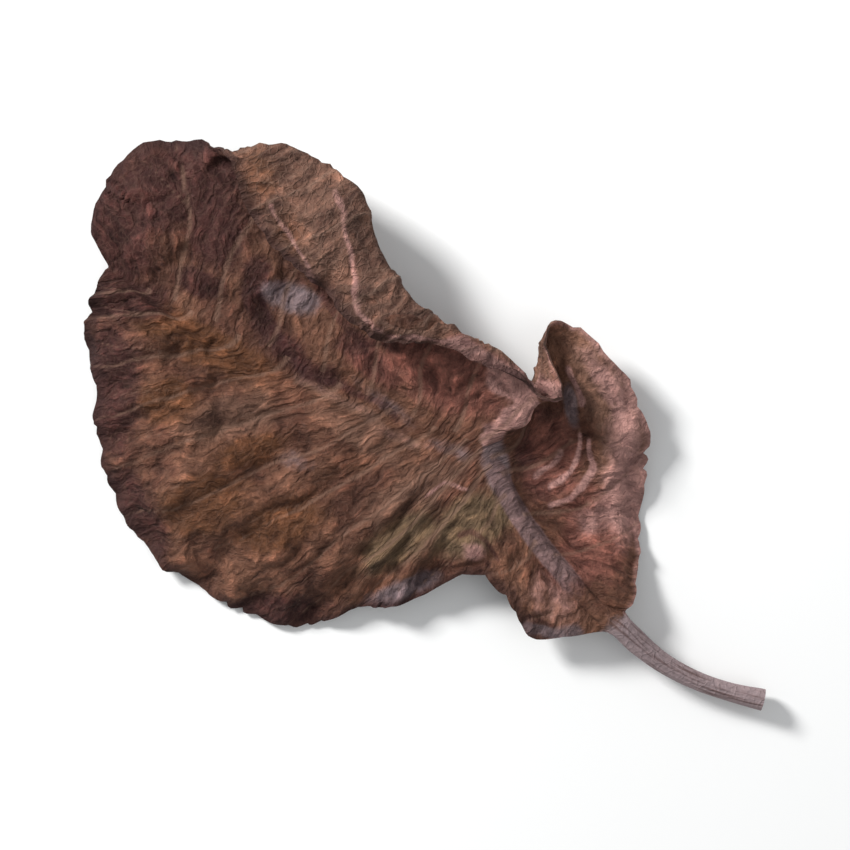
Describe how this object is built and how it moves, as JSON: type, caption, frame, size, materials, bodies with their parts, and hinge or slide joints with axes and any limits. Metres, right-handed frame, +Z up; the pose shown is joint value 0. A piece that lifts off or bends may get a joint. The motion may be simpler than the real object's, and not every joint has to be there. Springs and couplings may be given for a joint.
{
  "type": "dried autumn leaf",
  "caption": "Dried fallen leaf: a round crinkled red-brown blade, one margin rolled over and pleated near the base, notched tip, and a short curved grey stalk.",
  "frame": {"origin": "bottom centre of the bounding box, on the ground that the leaf lies on", "axes": "+Z up, out of the leaf's upper side; +X along the longest extent of the box, towards the end of the stalk"},
  "size_m": [0.0836, 0.0702, 0.0124],
  "materials": {
    "dry_leaf": "matt, dry, crinkled, red-brown above and paler tan below, grey stalk"
  },
  "bodies": {
    "root": {"leaf": "dry_leaf"}
  },
  "joints": []
}
